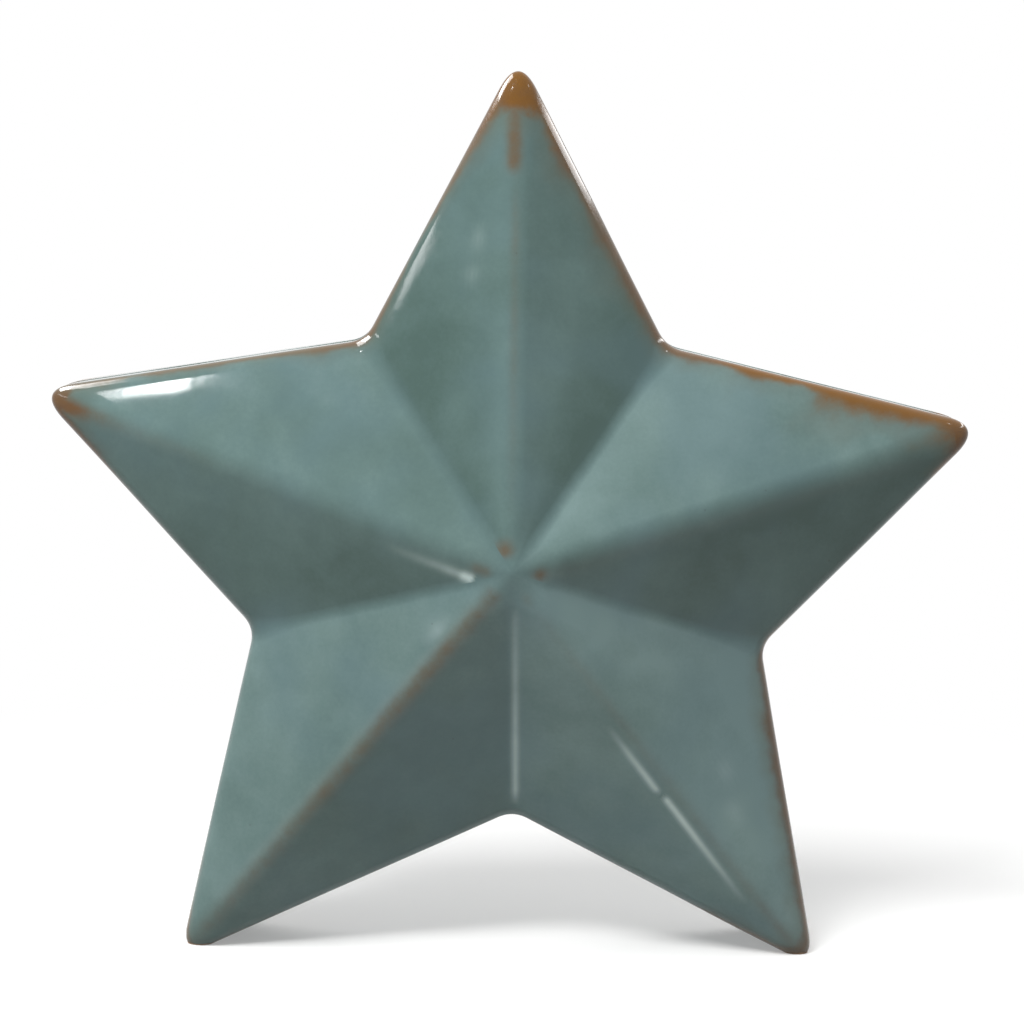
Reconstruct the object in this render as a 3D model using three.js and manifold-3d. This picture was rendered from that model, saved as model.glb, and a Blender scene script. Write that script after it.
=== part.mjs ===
// Standing ceramic star ornament: two press-moulded stoneware halves luted together with slip.
// Millimetres. X is the width, seen from the front, Y the depth with the front face towards -Y,
// and Z is up. The origin is on the table, midway between the side tips, on the seam plane.
import * as THREE from 'three';
import Module from 'manifold-3d';

// Outline, measured to where the straight edges would meet if no corner were rounded.
const ARM_LENGTH = 107.9;        // star centre to the tip of the top and side arms
const LEG_LENGTH = 115.8;        // the two legs are drawn out longer, so that the star stands
const CROTCH_RADIUS = 57.4;      // star centre to the inner corner between two arms

// The clay moved a little in the mould and the kiln: each corner has its own bearing,
// counter-clockwise from +X, and sits this much further out than its nominal radius.
const CORNERS = [
  { name: 'top arm', tip: true, radius: ARM_LENGTH, bearing: 90.3, out: 0.1 },
  { name: 'upper left crotch', tip: false, radius: CROTCH_RADIUS, bearing: 124.8, out: -0.7 },
  { name: 'left arm', tip: true, radius: ARM_LENGTH, bearing: 161.5, out: 1.0 },
  { name: 'left crotch', tip: false, radius: CROTCH_RADIUS, bearing: 196.7, out: 0.9 },
  { name: 'left leg', tip: true, radius: LEG_LENGTH, bearing: 231.8, out: 0.7 },
  { name: 'lower crotch', tip: false, radius: CROTCH_RADIUS, bearing: 271.5, out: -0.6 },
  { name: 'right leg', tip: true, radius: LEG_LENGTH, bearing: 307.3, out: -0.7 },
  { name: 'right crotch', tip: false, radius: CROTCH_RADIUS, bearing: 341.2, out: 0.9 },
  { name: 'right arm', tip: true, radius: ARM_LENGTH, bearing: 376.6, out: -1.2 },
  { name: 'upper right crotch', tip: false, radius: CROTCH_RADIUS, bearing: 414.8, out: -0.7 },
];
const LOWER_CROTCH = CORNERS.findIndex((corner) => corner.name === 'lower crotch');

// Depth.
const BAND_DEPTH = 16;           // straight side band between the front and back shoulders
const RELIEF = 26.5;             // end of the band to the peak, were the peak sharp
const WALL = 5;                  // clay thickness
const SHOULDER_ROUND = 4.5;      // radius that turns the side band into the facets
const INNER_SHOULDER_ROUND = 2;
const PEAK_REACH = 6;            // how far from the centre the facets soften into the peak
const PEAK_DROP = 1.1;           // how much lower the softened peak ends than a sharp one
const PEAK_EASE = 1.6;           // how early the facets run together there; 1 keeps them to the top

// Roundings along the outline and its ridges, as the length taken off each straight side.
const TIP_ROUND = 8.9;
const CROTCH_ROUND = 3.5;
const RIDGE_ROUND = 3.2;
const VALLEY_ROUND = 2.2;
const TIP_DOME = 0.2;            // part of a ridge, from the tip, over which it widens to the tip
const TIP_SHARE = 0.55;          // the most that a rounding takes off the shorter side at a tip
const CROTCH_SHARE = 0.385;      // and at a crotch

// Feet and vent.
const FOOT_GROUND = 3.9;         // ground off each leg, up from the lowest unrounded corner
const VENT_RADIUS = 4;           // hole that lets the kiln's steam out, at the lower crotch
const DRILL_LENGTH = 6 * WALL;   // long enough to pass both halves' side walls

// Seam.
const SLIP_THICKNESS = 0.8;      // slip left between the halves once they are pressed together
const SLIP_RECESS = 0.4;         // slip sponged back below the outer face
const BEAD_HEIGHT = 2;           // slip squeezed into the hollow, measured from the wall
const BEAD_HALF_DEPTH = 2.4;
const CLEARANCE = 0.3;           // gap kept between neighbouring solids

// Mesh steps.
const TIP_STEPS = 8;
const CROTCH_STEPS = 4;
const SHOULDER_STEPS = 5;
const FACET_STEPS = 6;
const FACET_SPREAD = 1.6;        // above 1, the loops lie closer together near the shoulder
const PEAK_STEPS = 3;
const VENT_SIDES = 24;
const GRID = 1e-4;               // corners of a cutting solid are merged on this grid

const glaze = new THREE.MeshStandardMaterial({ color: 0x5f7f7b, roughness: 0.22, metalness: 0 });
const slip = new THREE.MeshStandardMaterial({ color: 0x9b7c5c, roughness: 0.8, metalness: 0 });

const wasm = await Module();
wasm.setup();

// Unrounded corners of the outline about the star centre.
function sharpCorners() {
  return CORNERS.map((corner) => {
    const bearing = THREE.MathUtils.degToRad(corner.bearing);
    const reach = corner.radius + corner.out;
    return new THREE.Vector2(Math.cos(bearing), Math.sin(bearing)).multiplyScalar(reach);
  });
}

// Moves every straight side of the outline inwards by the same distance.
function insetCorners(corners, distance) {
  const count = corners.length;
  const sides = corners.map((from, i) => {
    const along = corners[(i + 1) % count].clone().sub(from).normalize();
    const inward = new THREE.Vector2(-along.y, along.x);
    return { point: from.clone().addScaledVector(inward, distance), along };
  });
  return sides.map((side, i) => {
    const before = sides[(i + count - 1) % count];
    const gap = side.point.clone().sub(before.point);
    const t = gap.cross(side.along) / before.along.cross(side.along);
    return before.point.clone().addScaledVector(before.along, t);
  });
}

// Rounds each corner with a parabola that takes tipRound or crotchRound off both of its sides.
function roundedLoop(corners, tipRound, crotchRound) {
  const count = corners.length;
  const points = [];
  corners.forEach((corner, i) => {
    const before = corners[(i + count - 1) % count];
    const after = corners[(i + 1) % count];
    const isTip = CORNERS[i].tip;
    const shorter = Math.min(before.distanceTo(corner), after.distanceTo(corner));
    const round = isTip
      ? Math.min(tipRound, TIP_SHARE * shorter)
      : Math.min(crotchRound, CROTCH_SHARE * shorter);
    const start = corner.clone().add(before.clone().sub(corner).setLength(round));
    const end = corner.clone().add(after.clone().sub(corner).setLength(round));
    const arc = new THREE.QuadraticBezierCurve(start, corner, end);
    points.push(...arc.getPoints(isTip ? TIP_STEPS : CROTCH_STEPS));
  });
  return points;
}

// Mean distance from the star centre to the straight sides.
function apothem(corners) {
  const count = corners.length;
  const distances = corners.map((corner, i) => {
    const next = corners[(i + 1) % count];
    return Math.abs(corner.cross(next)) / corner.distanceTo(next);
  });
  return distances.reduce((sum, distance) => sum + distance, 0) / count;
}

// Slope of the facets: the line from the sharp peak that just touches the shoulder's arc.
function facetSlope(reach, relief, round) {
  const toPeak = Math.hypot(reach - round, relief);
  return Math.atan2(relief, reach - round) - Math.asin(round / toPeak);
}

// Loops of one moulded face, from the seam plane over band, shoulder and facets to the peak.
// Each loop lies at one depth; depth counts outwards from the seam plane.
function faceLoops(face) {
  const loops = [];
  const edge = insetCorners(sharpCorners(), face.inset);
  const slope = facetSlope(apothem(edge), face.relief, face.shoulderRound);
  const at = (points, depth) => loops.push(points.map((p) => new THREE.Vector3(p.x, p.y, depth)));

  at(roundedLoop(edge, TIP_ROUND, CROTCH_ROUND), face.seamDepth);
  const turn = Math.PI / 2 - slope;
  let inner = edge;
  let innerDepth = face.bandTop;
  for (let k = 0; k <= SHOULDER_STEPS; k++) {
    const angle = (turn * k) / SHOULDER_STEPS;
    inner = insetCorners(edge, face.shoulderRound * (1 - Math.cos(angle)));
    innerDepth = face.bandTop + face.shoulderRound * Math.sin(angle);
    at(roundedLoop(inner, TIP_ROUND, CROTCH_ROUND), innerDepth);
  }

  const peakDepth = face.bandTop + face.relief;
  const last = 1 - PEAK_REACH / apothem(inner);
  let lastLoop = [];
  for (let k = 1; k <= FACET_STEPS; k++) {
    const s = last * (k / FACET_STEPS) ** FACET_SPREAD;
    const fade = Math.max(0, 1 - s / TIP_DOME) ** 2;
    const tipRound = RIDGE_ROUND + (TIP_ROUND - RIDGE_ROUND) * fade;
    const crotchRound = VALLEY_ROUND + (CROTCH_ROUND - VALLEY_ROUND) * fade;
    const scaled = inner.map((corner) => corner.clone().multiplyScalar(1 - s));
    lastLoop = roundedLoop(scaled, tipRound, crotchRound);
    at(lastLoop, innerDepth + (peakDepth - innerDepth) * s);
  }

  const softTop = peakDepth - PEAK_DROP;
  const softStart = innerDepth + (peakDepth - innerDepth) * last;
  for (let k = 1; k < PEAK_STEPS; k++) {
    const left = 1 - k / PEAK_STEPS;
    const points = lastLoop.map((p) => {
      const round = p.clone().setLength(PEAK_REACH * left);
      return p.clone().multiplyScalar(left).lerp(round, Math.min(1, PEAK_EASE * (1 - left)));
    });
    at(points, softTop - (softTop - softStart) * left ** PEAK_EASE);
  }
  return { loops, peak: new THREE.Vector3(0, 0, softTop), slope };
}

// Closed solid from a stack of loops; a pole closes the first or last loop, or, without poles,
// the last loop joins the first one.
function loopSolid(loops, firstPole, lastPole) {
  const size = loops[0].length;
  const positions = loops.flat().flatMap((p) => [p.x, p.y, p.z]);
  const index = [];
  const joined = firstPole ? loops.length - 1 : loops.length;
  for (let k = 0; k < joined; k++) {
    const a = k * size;
    const b = ((k + 1) % loops.length) * size;
    for (let i = 0; i < size; i++) {
      const j = (i + 1) % size;
      index.push(a + i, a + j, b + j, a + i, b + j, b + i);
    }
  }
  if (firstPole) {
    const first = positions.length / 3;
    positions.push(firstPole.x, firstPole.y, firstPole.z, lastPole.x, lastPole.y, lastPole.z);
    const end = (loops.length - 1) * size;
    for (let i = 0; i < size; i++) {
      const j = (i + 1) % size;
      index.push(first, j, i, first + 1, end + i, end + j);
    }
  }
  return new wasm.Manifold(new wasm.Mesh({
    numProp: 3,
    vertProperties: new Float32Array(positions),
    triVerts: new Uint32Array(index),
  }));
}

// Closed solid from a plain shape, with the corners that its faces share merged into one.
function cutter(geometry) {
  const positions = [];
  const seen = new Map();
  const source = geometry.getAttribute('position');
  const ids = Array.from({ length: source.count }, (_, i) => {
    const xyz = [source.getX(i), source.getY(i), source.getZ(i)].map((v) => Math.round(v / GRID) * GRID);
    const key = xyz.map((v) => Math.round(v / GRID)).join(' ');
    if (!seen.has(key)) {
      seen.set(key, positions.length / 3);
      positions.push(...xyz);
    }
    return seen.get(key);
  });
  const index = [];
  for (let i = 0; i < geometry.index.count; i += 3) {
    const [a, b, c] = [0, 1, 2].map((n) => ids[geometry.index.getX(i + n)]);
    if (a !== b && b !== c && c !== a) index.push(a, b, c);
  }
  return new wasm.Manifold(new wasm.Mesh({
    numProp: 3,
    vertProperties: new Float32Array(positions),
    triVerts: new Uint32Array(index),
  }));
}

// Where the star centre lies in the part's frame: the feet are on the table at z = 0, and the
// side tips are equally far from x = 0.
function starCentre() {
  const corners = sharpCorners();
  const outline = roundedLoop(corners, TIP_ROUND, CROTCH_ROUND);
  const xs = outline.map((p) => p.x);
  const lowest = Math.min(...corners.map((p) => p.y));
  return { x: -(Math.min(...xs) + Math.max(...xs)) / 2, z: -(lowest + FOOT_GROUND) };
}

// From the moulding frame (outline in x and y, depth in z) to the part's frame.
function placed(point, centre, side) {
  return new THREE.Vector3(point.x + centre.x, -side * point.z, point.y + centre.z);
}

// Removes what the grinding of the feet and the vent take away.
function finished(solid, centre, groundTo) {
  const size = 4 * LEG_LENGTH;   // wider than the whole star
  const table = new THREE.BoxGeometry(size, size, size).translate(0, 0, groundTo - size / 2);
  const crotch = sharpCorners()[LOWER_CROTCH];
  const vent = new THREE.CylinderGeometry(VENT_RADIUS, VENT_RADIUS, DRILL_LENGTH, VENT_SIDES);
  vent.rotateX(Math.PI / 2).translate(crotch.x + centre.x, 0, crotch.y + centre.z);
  return solid.subtract(cutter(table)).subtract(cutter(vent));
}

function meshFrom(solid, name, material) {
  const { vertProperties, triVerts } = solid.getMesh();
  const geometry = new THREE.BufferGeometry();
  geometry.setAttribute('position', new THREE.BufferAttribute(vertProperties, 3));
  geometry.setIndex(new THREE.BufferAttribute(triVerts, 1));
  geometry.computeVertexNormals();
  const mesh = new THREE.Mesh(geometry, material.clone());
  mesh.name = name;
  return mesh;
}

// One half: the outer face, the seam face and the hollow inner face, which runs WALL inside it.
// side is 1 for the front half and -1 for the back half.
function half(name, side) {
  const centre = starCentre();
  const seamDepth = SLIP_THICKNESS / 2 + CLEARANCE;
  const outer = faceLoops({
    inset: 0,
    seamDepth,
    bandTop: BAND_DEPTH / 2,
    relief: RELIEF,
    shoulderRound: SHOULDER_ROUND,
  });
  const rise = (round) => round * Math.tan((Math.PI / 2 - outer.slope) / 2);
  const innerPeak = BAND_DEPTH / 2 + RELIEF - WALL / Math.cos(outer.slope);
  const facetFoot = BAND_DEPTH / 2 + rise(SHOULDER_ROUND) - WALL * Math.tan((Math.PI / 2 - outer.slope) / 2);
  const innerBand = facetFoot - rise(INNER_SHOULDER_ROUND);
  const inner = faceLoops({
    inset: WALL,
    seamDepth,
    bandTop: innerBand,
    relief: innerPeak - innerBand,
    shoulderRound: INNER_SHOULDER_ROUND,
  });
  const loops = [...outer.loops.reverse(), ...inner.loops]
    .map((loop) => loop.map((p) => placed(p, centre, side)));
  if (side > 0) loops.forEach((loop) => loop.reverse());
  const solid = loopSolid(
    loops,
    placed(outer.peak, centre, side),
    placed(inner.peak, centre, side),
  );
  return meshFrom(finished(solid, centre, 0), name, glaze);
}

// The slip: a thin web between the halves with the bead that was squeezed into the hollow.
function seam() {
  const centre = starCentre();
  const web = SLIP_THICKNESS / 2;
  const bead = WALL + CLEARANCE;
  const section = [
    [SLIP_RECESS, web],
    [bead, web],
    [bead, BEAD_HALF_DEPTH],
    [bead + BEAD_HEIGHT, BEAD_HALF_DEPTH / 2],
    [bead + BEAD_HEIGHT, -BEAD_HALF_DEPTH / 2],
    [bead, -BEAD_HALF_DEPTH],
    [bead, -web],
    [SLIP_RECESS, -web],
  ];
  const loops = section.map(([inset, depth]) => {
    const corners = insetCorners(sharpCorners(), inset);
    return roundedLoop(corners, TIP_ROUND, CROTCH_ROUND)
      .map((p) => placed(new THREE.Vector3(p.x, p.y, depth), centre, 1));
  });
  return meshFrom(finished(loopSolid(loops), centre, SLIP_RECESS), 'seam_slip', slip);
}

const star = new THREE.Group();
star.add(half('front_half', 1));
star.add(half('back_half', -1));
star.add(seam());

export default star;
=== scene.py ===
# %% [markdown]
# # A glazed ceramic star
#
# The object is a star that stands on a shelf: two moulded stoneware halves, luted together
# with slip, dipped in a teal glaze and fired. The glaze runs thin over every sharp edge and
# turns rust brown there, and it gathers in the valleys.
#
# The fixed model gives the sizes. Here each of its three solids gets a fine, finished surface
# in the same place. Lengths are in metres, X is the width, the front looks towards -Y, and Z
# is up.

# %% Load the fixed frame
import math

import bmesh
import bpy
import numpy as np
from mathutils import Matrix, Vector


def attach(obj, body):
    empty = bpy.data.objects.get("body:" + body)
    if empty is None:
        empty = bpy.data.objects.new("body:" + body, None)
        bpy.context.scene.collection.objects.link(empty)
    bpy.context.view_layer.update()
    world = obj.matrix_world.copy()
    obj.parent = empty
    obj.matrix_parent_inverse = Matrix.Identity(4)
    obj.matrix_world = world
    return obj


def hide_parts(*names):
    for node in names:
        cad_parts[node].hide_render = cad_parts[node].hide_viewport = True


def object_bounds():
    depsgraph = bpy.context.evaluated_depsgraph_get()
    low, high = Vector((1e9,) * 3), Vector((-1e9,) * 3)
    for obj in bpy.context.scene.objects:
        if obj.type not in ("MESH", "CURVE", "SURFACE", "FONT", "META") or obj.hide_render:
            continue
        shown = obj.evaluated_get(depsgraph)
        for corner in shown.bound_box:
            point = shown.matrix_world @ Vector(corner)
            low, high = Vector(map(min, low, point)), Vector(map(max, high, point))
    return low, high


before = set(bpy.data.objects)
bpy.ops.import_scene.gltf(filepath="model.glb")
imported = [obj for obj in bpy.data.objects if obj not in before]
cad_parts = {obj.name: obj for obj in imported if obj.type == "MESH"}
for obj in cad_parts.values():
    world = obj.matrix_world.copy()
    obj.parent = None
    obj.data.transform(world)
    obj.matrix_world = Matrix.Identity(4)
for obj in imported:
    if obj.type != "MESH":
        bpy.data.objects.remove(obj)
cad_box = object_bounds()
MM = 0.001
print("nodes:", sorted(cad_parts))
print("box in mm:", [[round(v / MM, 1) for v in corner] for corner in cad_box])

# %% [markdown]
# ## Node trees written as sums
#
# A material or a Geometry Nodes tree is a drawing, but most of it is plain arithmetic. The
# class below wraps one output socket, so that `1 - mask * 2` adds the Math nodes for us. Every
# node that isn't arithmetic comes from one method, which sets the node's own settings first
# and its sockets after that. A few helpers for colours and objects follow.


# %% Arithmetic on sockets
class Wire:
    """One output socket of a node tree."""

    def __init__(self, graph, socket):
        self.graph = graph
        self.socket = socket

    def calc(self, operation, *others):
        return self.graph.calc(operation, self, *others)

    def __add__(self, other):
        return self.calc("ADD", other)

    __radd__ = __add__

    def __sub__(self, other):
        return self.calc("SUBTRACT", other)

    def __rsub__(self, other):
        return self.graph.calc("SUBTRACT", other, self)

    def __mul__(self, other):
        return self.calc("MULTIPLY", other)

    __rmul__ = __mul__

    def __truediv__(self, other):
        return self.calc("DIVIDE", other)

    def __rtruediv__(self, other):
        return self.graph.calc("DIVIDE", other, self)

    def __pow__(self, other):
        return self.calc("POWER", other)

    def low(self, other):
        return self.calc("MINIMUM", other)

    def high(self, other):
        return self.calc("MAXIMUM", other)

    def clamp(self):
        return self.high(0.0).low(1.0)

    def soft_step(self, start, end):
        """0 before start, 1 after end, and a smooth rise between them."""
        sockets = {"Value": self, "From Min": start, "From Max": end}
        return self.graph.node("ShaderNodeMapRange", {"interpolation_type": "SMOOTHSTEP"}, sockets)


class Graph:
    """Adds nodes to one tree, a shader's or a geometry's."""

    def __init__(self, tree):
        self.tree = tree

    def node(self, kind, settings=None, sockets=None, out=0):
        node = self.tree.nodes.new(kind)
        for name, value in (settings or {}).items():
            if name == "stops":
                set_stops(node.color_ramp, value)
            else:
                setattr(node, name, value)
        for key, value in (sockets or {}).items():
            if isinstance(value, Wire):
                self.tree.links.new(value.socket, node.inputs[key])
            else:
                node.inputs[key].default_value = value
        return Wire(self, node.outputs[out])

    def calc(self, operation, *values):
        return self.node("ShaderNodeMath", {"operation": operation}, dict(enumerate(values)))

    def vector(self, operation, *values, out=0):
        return self.node("ShaderNodeVectorMath", {"operation": operation}, dict(enumerate(values)), out)

    def scale(self, vector, amount):
        sockets = {0: vector, "Scale": amount}
        return self.node("ShaderNodeVectorMath", {"operation": "SCALE"}, sockets)

    def blend(self, amount, first, second):
        """A colour: first where amount is 0 and second where it is 1."""
        sockets = {"Factor": amount, 6: first, 7: second}
        return self.node("ShaderNodeMix", {"data_type": "RGBA"}, sockets, 2)


# %% Helpers for ramps, colours and objects
def set_stops(ramp, stops):
    for number, (position, value) in enumerate(stops):
        element = ramp.elements[number] if number < 2 else ramp.elements.new(position)
        element.position = position
        element.color = value


def colour(red, green, blue):
    """A colour given from 0 to 255, as the linear numbers that a shader wants."""
    return (*(((v / 255 + 0.055) / 1.055) ** 2.4 for v in (red, green, blue)), 1.0)


def linked(name, data):
    """A new object with this data, in the scene."""
    thing = bpy.data.objects.new(name, data)
    bpy.context.collection.objects.link(thing)
    return thing


def evaluated(thing):
    """The plain mesh that an object has after its modifiers."""
    graph = bpy.context.evaluated_depsgraph_get()
    return bpy.data.meshes.new_from_object(thing.evaluated_get(graph))


print("a middle grey is", [round(v, 3) for v in colour(128, 128, 128)])

# %% [markdown]
# ## The outline
#
# Seen from the front the star has ten corners: five tips and five crotches. The two legs are a
# little longer than the arms and stand further apart, and no two arms came out of the kiln
# quite alike. Each corner is written as a distance from the star's centre and a bearing, as on
# the fixed model.
#
# A corner is rounded with a parabola. That has a useful property: when the rounding grows,
# each point of it moves in a straight line. The same is true when the whole outline moves
# inwards. So each point of the outline needs only its unrounded place and three directions,
# and every other loop of the star follows from those.

# %% Corners of the outline, in millimetres and degrees
ARM_LENGTH = 107.9
LEG_LENGTH = 115.8
CROTCH_RADIUS = 57.4
FOOT_GROUND = 3.9

CORNERS = [
    ("top arm", ARM_LENGTH + 0.1, 90.3),
    ("upper left crotch", CROTCH_RADIUS - 0.7, 124.8),
    ("left arm", ARM_LENGTH + 1.0, 161.5),
    ("left crotch", CROTCH_RADIUS + 0.9, 196.7),
    ("left leg", LEG_LENGTH + 0.7, 231.8),
    ("lower crotch", CROTCH_RADIUS - 0.6, 271.5),
    ("right leg", LEG_LENGTH - 0.7, 307.3),
    ("right crotch", CROTCH_RADIUS + 0.9, 341.2),
    ("right arm", ARM_LENGTH - 1.2, 376.6),
    ("upper right crotch", CROTCH_RADIUS - 0.7, 414.8),
]
COUNT = len(CORNERS)
LOWER_CROTCH = 5


def sharp_corners():
    reach = np.array([corner[1] for corner in CORNERS])
    bearing = np.radians([corner[2] for corner in CORNERS])
    return np.stack([reach * np.cos(bearing), reach * np.sin(bearing)], axis=1)


def is_tip(number):
    return number % 2 == 0


corners = sharp_corners()
sides = np.roll(corners, -1, axis=0) - corners
side_lengths = np.linalg.norm(sides, axis=1)
along = sides / side_lengths[:, None]
inward = np.stack([-along[:, 1], along[:, 0]], axis=1)
apothem = float(np.mean(np.abs(np.cross(corners, np.roll(corners, -1, axis=0))) / side_lengths))
print("shortest side", round(side_lengths.min(), 1), "mm, centre to side", round(apothem, 1), "mm")

# %% Directions in which each corner moves
before = np.roll(inward, 1, axis=0)
mitre = (before + inward) / (1 + np.sum(before * inward, axis=1))[:, None]


# %% Points of the outline
TIP_STEPS = 24
CROTCH_STEPS = 12
SIDE_STEPS = 36
CORNER_SHARE = 0.12


def outline_points():
    """One record for each point, once round from the top tip, counter-clockwise from the front.

    On a side the points crowd towards its two ends, where the surface bends.
    """
    found = []
    for number in range(COUNT):
        following = (number + 1) % COUNT
        steps = TIP_STEPS if is_tip(number) else CROTCH_STEPS
        for step in range(steps + 1):
            t = step / steps
            rounding = t**2 * along[number] - (1 - t) ** 2 * along[number - 1]
            side = following if step > steps / 2 else number - 1
            around = number + CORNER_SHARE * (t - 0.5)
            found.append(outline_point((number, number, side), 0.0, (rounding, np.zeros(2)), around))
        for step in range(1, SIDE_STEPS):
            t = (1 - math.cos(math.pi * step / SIDE_STEPS)) / 2
            leaving, meeting = (1 - t) * along[number], -t * along[number]
            around = number + min(max(t, CORNER_SHARE / 2), 1 - CORNER_SHARE / 2)
            found.append(outline_point((number, following, following), t, (leaving, meeting), around))
    return found


def outline_point(ends, t, roundings, around):
    """The point that is the share t of the way from one corner to the next.

    ends are the two corners, and the corner at the far end of the side that the point is on.
    around is its place in the glaze tables, where a rounded corner takes up CORNER_SHARE.
    """
    number, following, beside = ends
    leaving, meeting = roundings
    tip_first = is_tip(number)
    tip, crotch = (number, beside) if tip_first else (beside, number)
    return {
        "corner": (1 - t) * corners[number] + t * corners[following],
        "mitre": (1 - t) * mitre[number] + t * mitre[following],
        "tip_rounding": leaving if tip_first else meeting,
        "crotch_rounding": meeting if tip_first else leaving,
        "ridge_line": corners[tip] / np.linalg.norm(corners[tip]),
        "valley_line": corners[crotch] / np.linalg.norm(corners[crotch]),
        "around": around % COUNT,
    }


records = outline_points()
COLUMNS = len(records)
print(COLUMNS, "points in the outline")

# %% Where the star's centre lies in the frame
TIP_ROUND = 8.9
CROTCH_ROUND = 3.5


def rounded(record):
    return record["corner"] + TIP_ROUND * record["tip_rounding"] + CROTCH_ROUND * record["crotch_rounding"]


rounded_x = [rounded(record)[0] for record in records]
STAR_X = -(min(rounded_x) + max(rounded_x)) / 2
STAR_Z = -(corners[:, 1].min() + FOOT_GROUND)
widths = [max(rounded_x) - min(rounded_x), (cad_box[1][0] - cad_box[0][0]) / MM]
print("star centre at x", round(STAR_X, 2), "z", round(STAR_Z, 2), "mm")
print("outline is", round(widths[0], 2), "mm wide; the frame says", round(widths[1], 2))

# %% [markdown]
# ## The camera
#
# The photograph was taken with the camera a little above the star's centre, close enough that
# the lower half looks slightly smaller than it is. The camera's place was worked out from the
# ten corners and the peak. It stands half a metre away, eight degrees above the star's face,
# and was held about one degree off level.

# %% Camera
CAMERA_DISTANCE = 485.5 * MM
CAMERA_AZIMUTH = -0.82
CAMERA_ELEVATION = 7.92
CAMERA_ROLL = math.radians(1.15)
AIM_ABOVE_CENTRE = 9.77 * MM
SENSOR = 36.0
FOCAL_LENGTH = 78.5
CLIP_START = 0.01
FACE_DEPTH = -8.6 * MM


def toward(azimuth, elevation):
    """A direction seen from the star, in degrees: azimuth 0 is in front and 90 to the right."""
    turn, lift = math.radians(azimuth), math.radians(elevation)
    return Vector((math.sin(turn) * math.cos(lift), -math.cos(turn) * math.cos(lift), math.sin(lift)))


star_centre = Vector((STAR_X * MM, FACE_DEPTH, STAR_Z * MM))
camera_place = star_centre + CAMERA_DISTANCE * toward(CAMERA_AZIMUTH, CAMERA_ELEVATION)
aim = star_centre + Vector((0, 0, AIM_ABOVE_CENTRE))
turn = (aim - camera_place).to_track_quat("-Z", "Y").to_matrix() @ Matrix.Rotation(CAMERA_ROLL, 3, "Z")
camera_data = bpy.data.cameras.new("camera")
camera_data.sensor_width = SENSOR
camera_data.lens = FOCAL_LENGTH
camera_data.clip_start = CLIP_START
camera = linked("camera", camera_data)
camera.matrix_world = Matrix.Translation(camera_place) @ turn.to_4x4()
bpy.context.scene.camera = camera
print("camera at", [round(v, 3) for v in camera_place])

# %% [markdown]
# ## The star's face, made by a rule
#
# Each face of the star is one outline drawn again and again. From the seam it first climbs
# straight up the side band, then turns inwards round the shoulder, and then shrinks as it
# rises to the peak, so that every side leaves a flat facet behind. Round the peak the facets
# run out into a small soft knoll.
#
# A rule like this suits Geometry Nodes. A grid has one column for each outline point and one
# row for each loop, and Set Position moves each grid point to the place that its row and
# column give. The outline comes in as the modifier's own mesh, with its directions stored as
# attributes, and the sizes are the tree's inputs. The same tree makes the hollow inside,
# which only has other numbers.

# %% The outline as a mesh with attributes
VECTORS = ("corner", "mitre", "tip_rounding", "crotch_rounding", "ridge_line", "valley_line")


def outline_mesh():
    mesh = bpy.data.meshes.new("outline")
    mesh.from_pydata([(*rounded(record), 0.0) for record in records], [], [])
    for key in VECTORS:
        flat = np.array([(*record[key], 0.0) for record in records], dtype=np.float32)
        mesh.attributes.new(key, "FLOAT_VECTOR", "POINT").data.foreach_set("vector", flat.ravel())
    place = np.array([record["around"] for record in records], dtype=np.float32)
    mesh.attributes.new("around", "FLOAT", "POINT").data.foreach_set("value", place)
    return mesh


outline = outline_mesh()
print("outline attributes:", [a.name for a in outline.attributes if not a.name.startswith(".")])

# %% Sizes of the outer face and of the hollow inside, in millimetres
BAND_DEPTH = 16.0
RELIEF = 26.5
WALL = 5.0
SHOULDER_ROUND = 4.5
INNER_SHOULDER_ROUND = 2.0
SLIP_THICKNESS = 0.8
HAIR_GAP = 0.01


def facet_slope(reach, relief, radius):
    """Slope of the line from the sharp peak that just touches the shoulder's arc."""
    return math.atan2(relief, reach - radius) - math.asin(radius / math.hypot(reach - radius, relief))


slope = facet_slope(apothem, RELIEF, SHOULDER_ROUND)
half_turn = math.tan((math.pi / 2 - slope) / 2)
inner_band = BAND_DEPTH / 2 + (SHOULDER_ROUND - WALL - INNER_SHOULDER_ROUND) * half_turn
inner_relief = BAND_DEPTH / 2 + RELIEF - WALL / math.cos(slope) - inner_band
inner_slope = facet_slope(apothem - WALL, inner_relief, INNER_SHOULDER_ROUND)

OUTER_FACE = {
    "Seam depth": SLIP_THICKNESS / 2 + HAIR_GAP,
    "Band top": BAND_DEPTH / 2,
    "Relief": RELIEF,
    "Slope": slope,
    "Shoulder radius": SHOULDER_ROUND,
    "Inset": 0.0,
    "Tip rounding": TIP_ROUND,
    "Crotch rounding": CROTCH_ROUND,
    "Ridge rounding": 6.0,
    "Valley rounding": 1.7,
    "Tip dome": 0.2,
    "Peak reach": 6.0,
    "Peak drop": 1.1,
    "Peak ease": 1.6,
    "Seam groove": 0.06,
    "Rim crown": 0.2,
    "Crown width": 7.0,
    "Waviness": 0.4,
    "Wave length": 34.0,
    "Band rows": 10,
    "Shoulder rows": 16,
    "Facet rows": 100,
    "Peak rows": 14,
}
INNER_FACE = OUTER_FACE | {
    "Band top": inner_band,
    "Relief": inner_relief,
    "Slope": inner_slope,
    "Shoulder radius": INNER_SHOULDER_ROUND,
    "Inset": WALL,
    "Seam groove": 0.0,
    "Rim crown": 0.0,
    "Waviness": 0.0,
    "Band rows": 2,
    "Shoulder rows": 4,
    "Facet rows": 16,
    "Peak rows": 5,
}
degrees = [round(math.degrees(angle), 1) for angle in (slope, inner_slope)]
print("facets rise at", degrees[0], "degrees outside and", degrees[1], "inside")


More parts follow.
